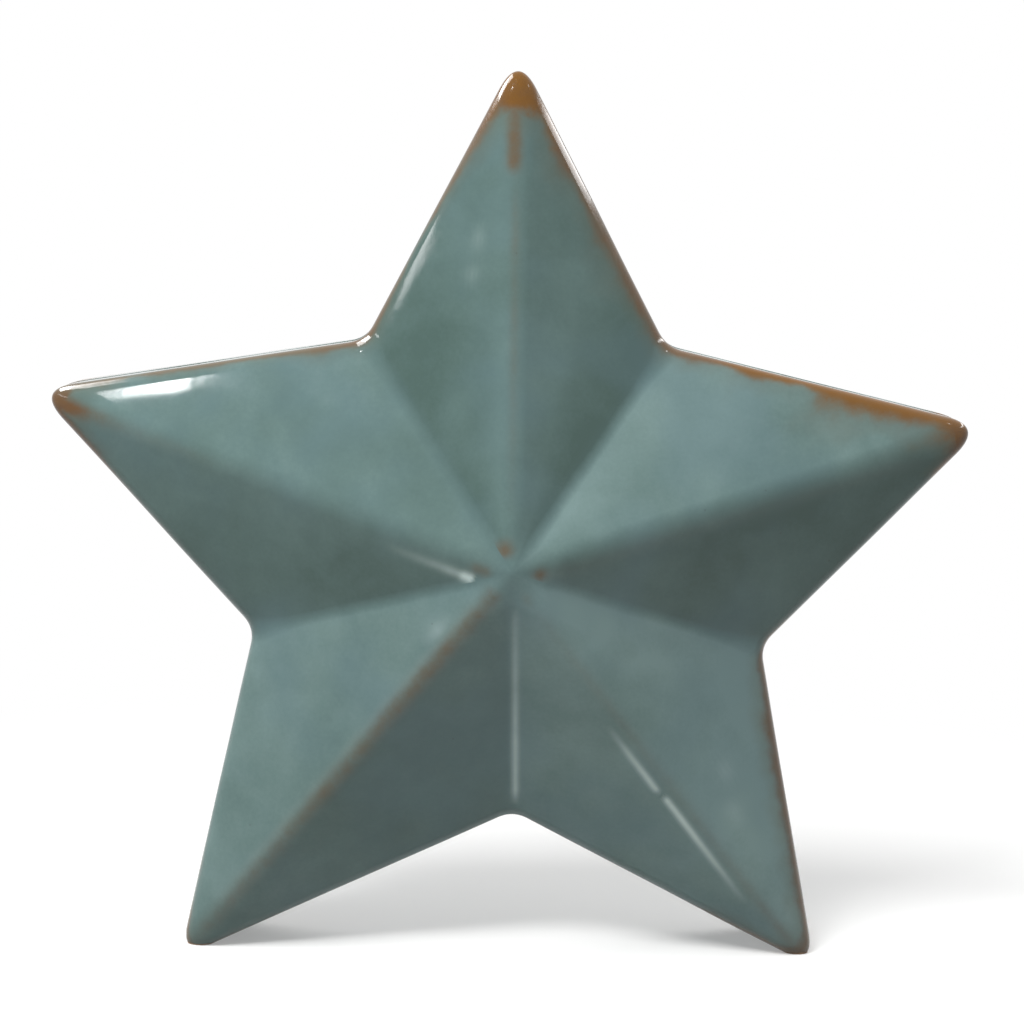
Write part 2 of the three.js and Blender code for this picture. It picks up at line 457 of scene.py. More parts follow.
# %% Parts of the face tree: rows and columns
CROWDED_AT_SEAM = 1.8
CROWDED_AT_RIM = 1.25


def rows_and_columns(g, given):
    """The grid, the index of the outline point of each grid point, and how far its row has come.

    The rows crowd where the surface bends most: at the seam's groove and at the rim.
    """
    rows = given["Band rows"] + given["Shoulder rows"] + given["Facet rows"] + given["Peak rows"] + 1
    grid = g.node("GeometryNodeMeshGrid", {}, {"Vertices X": COLUMNS + 1, "Vertices Y": rows})
    index = g.node("GeometryNodeInputIndex")
    column = ((index + 0.5) / rows).calc("FLOOR")
    row = index - column * rows
    wrapped = column - COLUMNS * ((column + 0.5) / COLUMNS).calc("FLOOR")
    past_band = row - given["Band rows"]
    past_shoulder = past_band - given["Shoulder rows"]
    return grid, wrapped, {
        "up band": (row / given["Band rows"]).clamp() ** CROWDED_AT_SEAM,
        "round shoulder": (past_band / given["Shoulder rows"]).clamp(),
        "up facet": (past_shoulder / given["Facet rows"]).clamp() ** CROWDED_AT_RIM,
        "to peak": ((past_shoulder - given["Facet rows"]) / given["Peak rows"]).clamp(),
    }


# %% Parts of the face tree: the section from seam to peak
GROOVE_REACH = 1.3


def section(given, share):
    """Inset, climb and depth of each row, in millimetres, and the distance past the rim's crest."""
    turn = math.pi / 2 - given["Slope"] - 2 * given["Rim crown"] / given["Crown width"]
    angle = share["round shoulder"] * turn
    radius = given["Shoulder radius"]
    shoulder_inset = radius * (1 - angle.calc("COSINE"))
    facet_run = apothem - given["Inset"] - radius * (1 - turn.calc("COSINE"))
    shoulder_rise = radius * turn.calc("SINE")
    facet_rise = given["Relief"] - shoulder_rise
    last = 1 - given["Peak reach"] / facet_run
    climb = share["up facet"] * last

    depth_on_band = (given["Band top"] - given["Seam depth"]) * share["up band"]
    groove = given["Seam groove"] * (1 - depth_on_band.soft_step(0.0, GROOVE_REACH))
    left = 1 - share["to peak"]
    knoll_rise = given["Relief"] - given["Peak drop"] - shoulder_rise - facet_rise * last
    knoll = knoll_rise * (1 - left ** given["Peak ease"])
    above = radius * angle.calc("SINE") + facet_rise * climb + knoll
    past_shoulder = facet_run * climb / given["Slope"].calc("COSINE")
    swell = 1 - (1 - past_shoulder / given["Crown width"]).high(0.0) ** 2
    crown = given["Rim crown"] * (swell - climb) * left
    rim = radius * (angle - turn * 0.5) + past_shoulder
    return {
        "inset": given["Inset"] + shoulder_inset + groove,
        "climb": climb,
        "left": left,
        "depth": given["Seam depth"] + depth_on_band + above + crown,
        "rim": rim + depth_on_band + given["Seam depth"] - given["Band top"],
    }


# %% Parts of the face tree: the loop that each row draws
ROUNDING_SHARE = 0.55
ROUNDING_LOST = 1.2
CROTCH_SHARE = 0.7


def loop_plan(g, given, sampled, cut):
    """Place of each grid point seen from the front, in millimetres from the star's centre.

    Near the peak the loops get short, so a rounding is held to a share of the side it is on.
    """
    climb, left = cut["climb"], cut["left"]
    fade = (1 - climb / given["Tip dome"]).high(0.0) ** 2
    longest = (ROUNDING_SHARE * side_lengths.min() - ROUNDING_LOST * cut["inset"]) * (1 - climb)
    tip = given["Ridge rounding"] + (given["Tip rounding"] - given["Ridge rounding"]) * fade
    crotch = given["Valley rounding"] + (given["Crotch rounding"] - given["Valley rounding"]) * fade
    edge = g.vector("ADD", sampled("corner"), g.scale(sampled("mitre"), cut["inset"]))
    plan = g.scale(edge, 1 - climb)
    plan = g.vector("ADD", plan, g.scale(sampled("tip_rounding"), tip.low(longest)))
    plan = g.vector("ADD", plan, g.scale(sampled("crotch_rounding"), crotch.low(longest * CROTCH_SHARE)))
    circle = g.scale(g.vector("NORMALIZE", plan), given["Peak reach"] * left)
    sockets = {"Factor": (given["Peak ease"] * (1 - left)).low(1.0), 4: g.scale(plan, left), 5: circle}
    return g.node("ShaderNodeMix", {"data_type": "VECTOR"}, sockets, 1)


# %% Parts of the face tree: what the glaze has to know
def measures(g, sampled, cut, plan):
    """Distances in millimetres that the glaze follows, one attribute each."""

    def off(line):
        return g.vector("LENGTH", g.vector("CROSS_PRODUCT", plan, sampled(line)), out=1)

    return {
        "rim": cut["rim"],
        "from_ridge": off("ridge_line"),
        "from_valley": off("valley_line"),
        "along_ridge": g.vector("DOT_PRODUCT", plan, sampled("ridge_line"), out=1),
        "from_centre": g.vector("LENGTH", plan, out=1),
        "around": sampled("around", "FLOAT"),
    }


# %% The face tree
MERGED_WITHIN = 0.001
WAVE_TOP = 0.9


def face_tree():
    tree = bpy.data.node_groups.new("star_face", "GeometryNodeTree")

    def port(name, kind, in_out="INPUT"):
        return tree.interface.new_socket(name, in_out=in_out, socket_type="NodeSocket" + kind)

    port("Geometry", "Geometry")
    for name, value in OUTER_FACE.items():
        port(name, "Int" if name.endswith("rows") else "Float").default_value = value
    for name, kind in {"Side": "Float", "Turned": "Bool", "Material": "Material"}.items():
        port(name, kind)
    port("Geometry", "Geometry", "OUTPUT")
    g = Graph(tree)
    group_in = tree.nodes.new("NodeGroupInput")
    given = {socket.name: Wire(g, socket) for socket in group_in.outputs if socket.name}
    grid, wrapped, share = rows_and_columns(g, given)

    def sampled(name, kind="FLOAT_VECTOR"):
        attribute = g.node("GeometryNodeInputNamedAttribute", {"data_type": kind}, {"Name": name})
        sockets = {"Geometry": given["Geometry"], "Value": attribute, "Index": wrapped}
        return g.node("GeometryNodeSampleIndex", {"data_type": kind}, sockets)

    cut = section(given, share)
    plan = loop_plan(g, given, sampled, cut)
    parts = g.node("ShaderNodeSeparateXYZ", {}, {0: plan})
    plan_x, plan_y = parts, Wire(g, parts.socket.node.outputs[1])
    sockets = {0: (plan_x + STAR_X) * MM, 1: given["Side"] * cut["depth"] * MM, 2: (plan_y + STAR_Z) * MM}
    place = g.node("ShaderNodeCombineXYZ", {}, sockets)
    mesh = g.node("GeometryNodeSetPosition", {}, {"Geometry": grid, "Position": place})
    for name, value in measures(g, sampled, cut, plan).items():
        sockets = {"Geometry": mesh, "Name": name, "Value": value}
        mesh = g.node("GeometryNodeStoreNamedAttribute", {"data_type": "FLOAT"}, sockets)
    mesh = g.node("GeometryNodeMergeByDistance", {}, {"Geometry": mesh, "Distance": MERGED_WITHIN * MM})
    mesh = g.node("GeometryNodeFlipFaces", {}, {"Mesh": mesh, "Selection": given["Turned"]})

    # A hand-made face is never quite flat: a slow wave takes a little off it here and there.
    here = g.node("GeometryNodeInputPosition")
    sockets = {"Vector": here, "Scale": 1 / (given["Wave length"] * MM), "Detail": 1.0, "Roughness": 0.4}
    wave = g.node("ShaderNodeTexNoise", {}, sockets)
    shift = g.scale(g.node("GeometryNodeInputNormal"), given["Waviness"] * MM * (wave - WAVE_TOP).low(0.0))
    mesh = g.node("GeometryNodeSetPosition", {}, {"Geometry": mesh, "Offset": shift})
    mesh = g.node("GeometryNodeRealizeInstances", {}, {"Geometry": mesh})
    mesh = g.node("GeometryNodeSetMaterial", {}, {"Geometry": mesh, "Material": given["Material"]})
    group_out = tree.nodes.new("NodeGroupOutput")
    tree.links.new(mesh.socket, group_out.inputs[0])
    return tree


star_face = face_tree()
print("the face tree has", len(star_face.nodes), "nodes")

# %% [markdown]
# ## Where the brown breaks through
#
# Where the glaze is thin the iron in the clay shows through it. That happens on the rim, on the tips and
# here and there along the ridges, but not evenly: the star was dipped and drained by hand. The tables below
# go round the outline, counted in corners from the top tip. "rim" says how wide the brown edge is, in
# millimetres, and "brown" says which brown it is (0 is taupe, a half is red brown and 1 is ochre). The
# table of painted light and shade says how much lighter or darker the teal is painted on that side of an
# arm: lighter where light falls on it and darker where it lies in shade. A place between two entries gets a
# value between theirs.
#
# The stains and the painted highlights are soft lines beside a ridge or a valley: brown where the glaze ran
# off, and near-white painted highlights and reflections where a rounded ridge or valley would mirror a
# lamp, with faint painted reflections on a few facets and faint painted light on the shaded side of some
# ridges. Each says what it follows, which arm, how far beside it (positive is counter-clockwise) and half
# how wide it is, in millimetres, and then how strong it is from the tip at 0, or the crotch, to the peak at
# 1.

# %% Tables for the front face
FRONT_BREAK = {
    "rim": [
        (0, 3.6), (0.2, 2.8), (0.4, 1.8), (0.6, 1.1), (0.85, 1.7), (1, 2.4), (1.15, 2.6), (1.3, 1.8),
        (1.8, 1.6), (2, 2.6), (2.1, 3.2), (2.3, 1.2), (3, 0.3), (3.5, 0.3), (4, 1.3), (4.3, 0.9),
        (4.7, 0.4), (5.5, 0.3), (6, 3.0), (6.4, 3.6), (6.9, 3.4), (7, 1.6), (7.3, 0.6), (7.85, 0.7),
        (7.95, 2.4), (8, 5.0), (8.12, 6.2), (8.36, 5.4), (8.46, 3.0), (8.54, 2.6), (8.62, 3.8), (8.72, 3.6),
        (8.82, 2.0), (9, 3.4), (9.15, 3.9), (9.5, 4.7), (9.7, 4.2), (9.85, 4.8),
    ],
    "brown": [
        (0, 0.95), (0.12, 0.4), (0.3, 0.1), (0.8, 0.1), (1, 0.25), (1.15, 0.1), (1.3, -0.4), (1.6, -0.6),
        (1.9, -0.4), (2, 0.5), (2.2, 0.45), (2.5, 0.2), (4, 0.3), (5, 0.3), (6, 0.2), (6.6, 0.35),
        (7, 0.3), (7.8, 0.2), (8, 0.75), (8.15, 1.0), (8.75, 1.0), (8.9, 0.5), (9, 0.35), (9.4, 0.25),
        (9.8, 0.35), (9.9, 0.8),
    ],
    # Painted light and shade: the sides of the arms that face the light get a lighter teal, the sides in
    # shade a darker one.
    "painted_light_and_shade": [
        (0.05, -0.1), (0.5, -0.25), (0.94, -0.4), (1.06, 0.0), (1.94, 0.0),
        (2.06, -0.05), (2.6, -0.28), (2.94, -0.35), (3.06, 0.22), (3.94, 0.12),
        (4.06, -0.05), (4.94, -0.15), (5.06, 0.1), (5.94, 0.25),
        (6.06, 0.35), (6.5, 0.5), (6.94, 0.5), (7.06, -0.3), (7.5, -0.35), (7.94, -0.5),
        (8.06, 0.1), (8.5, 0.2), (8.94, 0.45), (9.06, -0.45), (9.5, -0.2), (9.95, -0.15),
    ],
    "caps": [9.0, 4.0, 1.2, 3.4, 4.4],
    "stains": [
        ("ridge", 0, 0.7, 1.9, [(0.06, 0.4), (0.12, 0.5), (0.16, 0.75), (0.22, 0.8), (0.25, 0)]),
        ("ridge", 0, 1.6, 2.3, [(0.925, 0), (0.958, 0.78), (0.98, 0)]),
        ("ridge", 1, 0.8, 2.2, [(0.08, 0.9), (0.13, 0.5), (0.2, 0.25), (0.4, 0.15), (0.6, 0)]),
        ("ridge", 1, 1.8, 1.6, [(0.905, 0), (0.93, 0.38), (0.955, 0.38), (0.975, 0)]),
        ("ridge", 2, 0.1, 2.5,
         [(0.04, 0.1), (0.1, 0.36), (0.3, 0.42), (0.6, 0.5), (0.75, 0.55), (0.95, 0.5), (0.965, 0)]),
        ("ridge", 3, -0.9, 1.6,
         [(0.04, 0.2), (0.12, 0.34), (0.25, 0.26), (0.45, 0.2), (0.75, 0.2), (0.92, 0.1), (0.93, 0)]),
        ("ridge", 3, -1.0, 1.3, [(0.92, 0), (0.945, 0.35), (0.965, 0)]),
        ("ridge", 4, -2.1, 1.8, [(0.92, 0), (0.95, 0.7), (0.975, 0)]),
        ("ridge", 0, 0.3, 1.4, [(0.22, 0), (0.3, 0.3), (0.8, 0.22), (0.93, 0)]),
        ("ridge", 4, 0.8, 2.4, [(0.05, 0.7), (0.12, 0.4), (0.2, 0.15), (0.3, 0)]),
    ],
    # Painted highlights and reflections along ridges and valleys and on a few facets, and faint painted
    # light on the shaded side of two ridges.
    "painted_highlight": [
        ("ridge", 1, 4.3, 1.0,
         [(0.75, 0), (0.82, 0.16), (0.87, 0.3), (0.905, 0.5), (0.915, 1.1), (0.93, 1.1), (0.937, 0)]),
        ("ridge", 3, -3.9, 0.75, [(0.487, 0), (0.5, 0.75), (0.55, 0.75), (0.6, 0.4), (0.66, 0)]),
        ("ridge", 3, -3.4, 0.75,
         [(0.2, 0), (0.27, 0.35), (0.33, 0.7), (0.4, 0.95), (0.468, 1.0), (0.48, 0)]),
        ("ridge", 2, -1.8, 1.3, [(0.12, 0), (0.25, 0.05), (0.85, 0.07), (0.93, 0)]),
        ("ridge", 4, -2.6, 1.8, [(0.1, 0), (0.2, 0.06), (0.94, 0.07), (0.98, 0)]),
        ("valley", 2, 0.5, 0.75,
         [(0.05, 0), (0.12, 0.65), (0.3, 0.6), (0.5, 0.42), (0.7, 0.28), (0.82, 0.2), (0.87, 0)]),
        ("ridge", 2, -4.2, 1.6, [(0.79, 0), (0.83, 0.22), (0.87, 0)]),
        ("ridge", 0, 8.0, 1.5, [(0.335, 0), (0.367, 0.12), (0.4, 0)]),
        ("ridge", 0, 9.2, 1.5, [(0.41, 0), (0.435, 0.12), (0.46, 0)]),
        ("ridge", 3, 10.5, 2.0, [(0.41, 0), (0.445, 0.12), (0.47, 0)]),
        ("ridge", 3, 6.6, 1.8, [(0.33, 0), (0.365, 0.12), (0.4, 0)]),
    ],
}

# %% Tables for the back face, which the photograph doesn't show
BACK_BREAK = {
    "rim": [
        (0, 3.6), (0.4, 2.4), (1, 3.0), (1.5, 3.8), (2, 4.4), (2.3, 2.4), (3, 1.2), (3.6, 2.0),
        (4, 3.2), (4.5, 1.6), (5, 1.0), (5.6, 2.4), (6, 3.0), (6.5, 1.4), (7, 1.0), (7.5, 3.0),
        (8, 4.6), (8.4, 2.2), (9, 2.8), (9.5, 4.6),
    ],
    "brown": [(0, 0.8), (1, 0.4), (1.5, 0.8), (2, 0.8), (3, 0.2), (4, 0.4), (6, 0.4), (8, 0.8), (9.5, 0.4)],
    # Painted light and shade, made up in the same way for the back.
    "painted_light_and_shade": [
        (0.05, 0.0), (0.94, 0.2), (1.06, -0.1), (1.94, 0.0), (2.06, -0.1), (2.94, -0.25), (3.06, 0.1),
        (3.94, 0.0), (4.06, -0.2), (4.94, -0.1), (5.06, 0.1), (5.94, 0.2), (6.06, 0.0), (6.94, -0.2),
        (7.06, -0.1), (7.94, 0.1), (8.06, 0.2), (8.94, 0.1), (9.06, -0.2), (9.95, -0.1),
    ],
    "caps": [7.0, 6.0, 3.4, 3.2, 5.0],
    "stains": [
        ("ridge", 0, 0.5, 1.5, [(0.1, 0.6), (0.3, 0.3), (0.5, 0)]),
        ("ridge", 1, -0.8, 1.8, [(0.7, 0), (0.85, 0.7), (0.95, 0.5), (0.98, 0)]),
        ("ridge", 3, 1.0, 1.8, [(0.3, 0), (0.6, 0.5), (0.8, 0.7), (0.95, 0.3), (0.98, 0)]),
        ("ridge", 4, -1.2, 1.4, [(0.92, 0), (0.945, 0.7), (0.97, 0)]),
    ],
    # Painted highlights, made up in the same way for the back.
    "painted_highlight": [
        ("ridge", 0, -3.8, 1.0, [(0.3, 0), (0.5, 0.35), (0.8, 0.2), (0.92, 0)]),
        ("ridge", 4, 3.6, 0.9, [(0.3, 0), (0.6, 0.3), (0.9, 0.5), (0.94, 0)]),
        ("valley", 3, 1.0, 0.9, [(0.1, 0), (0.3, 0.3), (0.7, 0.2), (0.85, 0)]),
    ],
}
rim_widths = [width for _, width in FRONT_BREAK["rim"]]
print("the front rim breaks brown over", min(rim_widths), "to", max(rim_widths), "mm")


# %% From the tables to attributes on a mesh
def read_round(table, around):
    """Values at places along the outline; the table closes on itself after the tenth corner."""
    knots = [*table, (COUNT, table[0][1])]
    return np.interp(around, [knot[0] for knot in knots], [knot[1] for knot in knots])


def read_attribute(mesh, name):
    values = np.empty(len(mesh.vertices), dtype=np.float32)
    mesh.attributes[name].data.foreach_get("value", values)
    return values


def write_attributes(mesh, values):
    """Writes each named row of values, one value for each point of the mesh."""
    for name, row in values.items():
        layer = mesh.attributes.get(name) or mesh.attributes.new(name, "FLOAT", "POINT")
        layer.data.foreach_set("value", np.asarray(row, dtype=np.float32))


def soft_lines(mesh, lines, around, share):
    """How strong the soft lines of a table are at each point."""
    total = np.zeros(len(around))
    for what, arm, beside, half_width, knots in lines:
        corner = 2 * arm + (what == "valley")
        turn = (around - corner + COUNT / 2) % COUNT - COUNT / 2
        off = read_attribute(mesh, "from_" + what) * np.sign(turn)
        line = np.interp(share[what], *zip(*knots)) * np.exp(-(((off - beside) / half_width) ** 2))
        total = np.maximum(total, line * (np.abs(turn) < 1))
    return total


# %% Painting one mesh
CAP_START = 0.45 * TIP_ROUND
INNER_BROWN = 0.1
INNER_FROM = 0.1
INNER_FADE = 0.04
STAIN_EDGE = 1 / 6
KNOLL = 12.0


def nearest_arm(around):
    """The number of the arm that each point is on, and how far that arm's sharp tip reaches."""
    arm = np.rint(around / 2).astype(int) % (COUNT // 2)
    return arm, np.linalg.norm(corners[::2], axis=1)[arm]


def below_tip(table, around, along_ridge):
    """Distance below the rounded tip, as a share of how far the brown cap comes down."""
    arm, reach = nearest_arm(around)
    return (reach - CAP_START - along_ridge) / np.array(table["caps"])[arm]


def paint(mesh, table, bare):
    """Turns the measures that the face tree left into what the glaze material reads.

    Stains away from the tips are the same dull brown everywhere. The painted light and shade fades out on
    the knoll, where all the facets meet.
    """
    around, along_ridge, from_centre = (
        read_attribute(mesh, name) for name in ("around", "along_ridge", "from_centre")
    )
    share = {"ridge": 1 - along_ridge / nearest_arm(around)[1], "valley": 1 - from_centre / CROTCH_RADIUS}
    stain = soft_lines(mesh, table["stains"], around, share)
    inner = np.clip((share["ridge"] - INNER_FROM) / INNER_FADE, 0, 1) * np.clip(stain / STAIN_EDGE, 0, 1)
    write_attributes(mesh, {
        "rim_break": read_round(table["rim"], around),
        "brown": read_round(table["brown"], around) * (1 - inner) + INNER_BROWN * inner,
        # Painted light and shade for each side of an arm, faded out on the knoll.
        "painted_light_and_shade": read_round(table["painted_light_and_shade"], around) * np.clip(from_centre / KNOLL, 0, 1),
        "cap": below_tip(table, around, along_ridge),
        "stain": stain,
        # Painted highlights and reflections along ridges and valleys.
        "painted_highlight": soft_lines(mesh, table["painted_highlight"], around, share),
        "bare": np.full(len(around), bare),
    })


for what in ("stains", "painted_highlight"):
    print(what, len(FRONT_BREAK[what]), "in front,", len(BACK_BREAK[what]), "behind")

# %% [markdown]
# ## The teal glaze
#
# The glaze is a glassy coat, so its gloss is high and the same nearly everywhere. What varies
# is the colour. Fine specks and slow clouds of paler and bluer teal come from noise at
# several scales. The brown comes from the attributes: a distance measured against a width
# says how thick the glaze is, and a noise makes the border ragged. Between teal and brown
# there is always a narrow olive zone. Bare clay shows only on the ground feet, in the vent
# and inside.

# %% Colours of the glaze and the clay
# The ramp from deep to pale teal carries random clouds and also the painted light and shade of the arms'
# sides.
TEAL_DEEP_AND_SHADED = colour(67, 90, 85)
TEAL = colour(89, 113, 110)
TEAL_PALE_AND_LIT = colour(114, 138, 136)
TEAL_BLUE = colour(87, 113, 120)
# The near-white of the painted highlights.
HIGHLIGHT_WHITE = colour(188, 205, 202)
OLIVE = colour(88, 90, 76)
TAUPE = colour(94, 83, 65)
RED_BROWN = colour(98, 72, 46)
OCHRE = colour(108, 71, 18)
IRON = colour(58, 44, 34)
BARE_CLAY = colour(176, 142, 110)
FIRED_SLIP = colour(150, 122, 96)
print("teal is", [round(v, 3) for v in TEAL])


# %% Helpers for surfaces
NOISE_SHIFT = (1.0, 0.37, -0.61)


class Surface(Graph):
    """A material with one principled shader, to which the maps are linked."""

    def __init__(self, name, **constants):
        self.material = bpy.data.materials.new(name)
        self.material.use_nodes = True
        super().__init__(self.material.node_tree)
        self.tree.nodes.clear()
        self.shader = self.tree.nodes.new("ShaderNodeBsdfPrincipled")
        output = self.tree.nodes.new("ShaderNodeOutputMaterial")
        self.tree.links.new(self.shader.outputs[0], output.inputs["Surface"])
        for socket, value in constants.items():
            self.shader.inputs[socket.replace("_", " ")].default_value = value
        self.place = self.node("ShaderNodeTexCoord", out="Object")

    def attribute(self, name):
        return self.node("ShaderNodeAttribute", {"attribute_name": name}, out="Fac")

    def noise(self, size, detail=2.0, roughness=0.5, shift=0.0, stretch=0.0):
        """Noise from 0 to 1 with blobs about size millimetres across.

        shift moves it, so that no two noises look alike.
        """
        sockets = {
            "Vector": self.vector("ADD", self.place, tuple(shift * part for part in NOISE_SHIFT)),
            "Scale": 1 / (size * MM),
            "Detail": detail,
            "Roughness": roughness,
            "Distortion": stretch,
        }
        return self.node("ShaderNodeTexNoise", {}, sockets)

    def link(self, socket, value):
        self.tree.links.new(value.socket, self.shader.inputs[socket])

    def bump(self, height):
        """Relief too small for the mesh; height is in millimetres."""
        sockets = {"Height": height, "Distance": MM, "Strength": 1.0}
        self.link("Normal", self.node("ShaderNodeBump", {}, sockets))


# %% Where the glaze is thin
CREST_BEFORE_MIDDLE = 1.2
BAND_HASTE = 2.0
THINNEST_SHOWN = (0.3, 2.0)


def thin_glaze(g):
    """Two masks, 0 where the glaze is full: where it has gone brown, and the duller zone round that.

    The glaze is thinnest along the rim's crest, a little on the band's side of the shoulder's
    middle, and it gets thicker faster down the band than up the facet.
    """
    ragged = (g.noise(2.8, 3.0, 0.55, shift=1.3) - 0.5) + (g.noise(0.8, shift=3.7) - 0.5) * 0.3
    patchy = g.noise(9.0, shift=2.9) - 0.5

    past_crest = g.attribute("rim") + CREST_BEFORE_MIDDLE
    from_crest = past_crest.high(past_crest * -BAND_HASTE)
    width = g.attribute("rim_break") * (1 + 1.2 * patchy)
    here = width.soft_step(*THINNEST_SHOWN)

    def edge(sway, full, gone, beyond):
        """1 up to the share full of the brown width, and 0 past the share gone."""
        swaying = from_crest + sway * ragged * width
        return (1 - swaying.soft_step(width * full, width * gone + beyond)) * here

    rim = edge(0.45, 0.1, 1.5, 0.1)
    veil = edge(0.4, 0.5, 2.4, 0.3)
    cap = g.attribute("cap") + 0.35 * ragged + 0.6 * patchy
    stain = g.attribute("stain") * (1 + 0.9 * ragged + 0.8 * patchy)
    brown = rim.high(stain).high(1 - cap.soft_step(0.6, 1.3))
    return brown, veil.high(1 - cap.soft_step(0.9, 1.9))


# %% The glaze material
SPECK_SPACING = 9.0
SPECK_SIZE = (0.015, 0.035)
POOL_WIDTH = (0.3, 3.5)
GROUND_BARE = (0.2, 0.45)
GLAZE_ROUGHNESS = 0.07
CLAY_ROUGHNESS = 0.86


def teal_glaze():
    g = Surface("teal_glaze", IOR=1.5, Specular_IOR_Level=0.34)
    cloud = g.noise(16.0, shift=5.1, stretch=0.4)
    drift = g.noise(34.0, shift=7.7)
    fine = g.noise(0.9, 3.0, 0.6, shift=9.3)
    mist = g.noise(4.5, shift=11.9)

    height = g.node("ShaderNodeSeparateXYZ", {}, {0: g.place}, out="Z") / MM
    clouds = (drift - 0.5) * 0.5 + (cloud - 0.5) * 0.6 + (mist - 0.5) * 0.2 + (fine - 0.5) * 0.2
    # The tone is random clouds plus painted light and shade, lighter on sides that face the light and
    # darker on sides in shade.
    tone_and_light = 0.5 + g.attribute("painted_light_and_shade") + clouds
    stops = [(0.0, TEAL_DEEP_AND_SHADED), (0.5, TEAL), (1.0, TEAL_PALE_AND_LIT)]
    teal = g.node("ShaderNodeValToRGB", {"stops": stops}, {"Fac": tone_and_light})
    blue = g.noise(26.0, shift=21.3).soft_step(0.42, 0.68) * 0.35
    pooled = 1 - g.attribute("from_valley").soft_step(*POOL_WIDTH)
    teal = g.blend((blue + pooled * 0.1).clamp(), teal, TEAL_BLUE)
    # Painted highlights and reflections: near-white lines where rounded ridges and valleys would mirror a
    # lamp.
    teal = g.blend(g.attribute("painted_highlight") * (0.9 + (mist - 0.5) * 0.5), teal, HIGHLIGHT_WHITE)

    brown, veil = thin_glaze(g)
    kind = g.attribute("brown") + (g.noise(3.0, shift=13.1) - 0.5) * 0.6
    stops = [(0.05, TAUPE), (0.45, RED_BROWN), (0.95, OCHRE)]
    browns = g.node("ShaderNodeValToRGB", {"stops": stops}, {"Fac": kind})
    glaze = g.blend(veil * 0.45, teal, OLIVE)
    glaze = g.blend(brown.soft_step(0.0, 0.95), glaze, browns)

    speck = g.node("ShaderNodeTexVoronoi", {}, {"Vector": g.place, "Scale": 1 / (SPECK_SPACING * MM)})
    speck = 1 - speck.soft_step(*SPECK_SIZE)
    glaze = g.blend(speck * 0.18, glaze, IRON)

    foot = 1 - (height + (g.noise(2.5, shift=15.7) - 0.5) * 0.5).soft_step(*GROUND_BARE)
    bare = g.attribute("bare").high(foot)
    grain = g.noise(0.7, 3.0, 0.6, shift=17.3)
    clay = g.blend(grain.soft_step(0.62, 0.7) * 0.5, BARE_CLAY, IRON)
    clay = g.blend((mist - 0.3).clamp(), clay, FIRED_SLIP)

    g.link("Base Color", g.blend(bare, glaze, clay))
    rough = GLAZE_ROUGHNESS + (mist - 0.5) * 0.05 + brown.clamp() * 0.05
    g.link("Roughness", rough + (CLAY_ROUGHNESS - rough) * bare)
    skin = g.noise(6.0, shift=19.1) * 0.02 + fine * 0.001 - speck * 0.03 - brown.clamp() * 0.03
    g.bump(skin * (1 - bare) + grain * 0.12 * bare)
    return g.material


glaze = teal_glaze()
print("the glaze has", len(glaze.node_tree.nodes), "nodes")

# %% [markdown]
# ## Two glazed halves
#
# Each half was pressed into the same mould, which gives the outer face, and its wall is five
# millimetres thick, which gives the inner one. So the half is two shells from the face tree,
# joined along the seam by a flat ring. After the halves were joined, a vent was bored in the
# crotch between the legs, which lets the air out of the hollow in the kiln, and the two feet
# were ground flat. Both cuts come last here too.


# %% One shell from the face tree
def grown(name, side, turned, sizes):
    """Runs the face tree with these sizes and returns the plain mesh."""
    seed = linked(name + "_outline", outline)
    modifier = seed.modifiers.new("face", "NODES")
    modifier.node_group = star_face
    values = sizes | {"Side": side, "Turned": turned, "Material": glaze}
    for item in star_face.interface.items_tree:
        if item.in_out == "INPUT" and item.name in values:
            modifier[item.identifier] = values[item.name]
    mesh = evaluated(seed)
    bpy.data.objects.remove(seed)
    return mesh


# %% The vent, which goes through both halves and the slip
VENT_RADIUS = 4.0
VENT_SIDES = 64
DRILL_LENGTH = 6 * WALL
vent_place = corners[LOWER_CROTCH] + (STAR_X, STAR_Z)


def bored(piece):
    """Bores the vent, which stands upright in the crotch between the legs."""
    radius = VENT_RADIUS * MM
    bm = bmesh.new()
    bmesh.ops.create_cone(
        bm, cap_ends=True, segments=VENT_SIDES, radius1=radius, radius2=radius, depth=DRILL_LENGTH * MM
    )
    bmesh.ops.translate(bm, verts=bm.verts, vec=(vent_place[0] * MM, 0, vent_place[1] * MM))
    mesh = bpy.data.meshes.new("drill")
    bm.to_mesh(mesh)
    bm.free()
    drill = linked("drill", mesh)
    modifier = piece.modifiers.new("vent", "BOOLEAN")
    modifier.object = drill
    modifier.operation = "DIFFERENCE"
    modifier.solver = "EXACT"
    cut = evaluated(piece)
    piece.modifiers.clear()
    piece.data = cut
    bpy.data.objects.remove(drill)


print("the vent is", 2 * VENT_RADIUS, "mm wide at", [round(float(v), 1) for v in vent_place])

# %% Grinding the feet, and the last finish
SHARP_FROM = math.radians(45)


def ground(bm, level):
    """Grinds everything below a level away and closes what that opens."""
    everything = [*bm.verts, *bm.edges, *bm.faces]
    on_stone = (0, 0, level * MM)
    bmesh.ops.bisect_plane(bm, geom=everything, plane_co=on_stone, plane_no=(0, 0, 1), clear_inner=True)
    rims = [edge for edge in bm.edges if edge.is_boundary]
    bmesh.ops.holes_fill(bm, edges=rims, sides=0)


def finished(piece):
    """Smooth shading everywhere, apart from the edges that a saw or a stone left."""
    mesh = piece.data
    mesh.polygons.foreach_set("use_smooth", [True] * len(mesh.polygons))
    mesh.set_sharp_from_angle(angle=SHARP_FROM)
    mesh.materials.clear()
    mesh.materials.append(glaze)


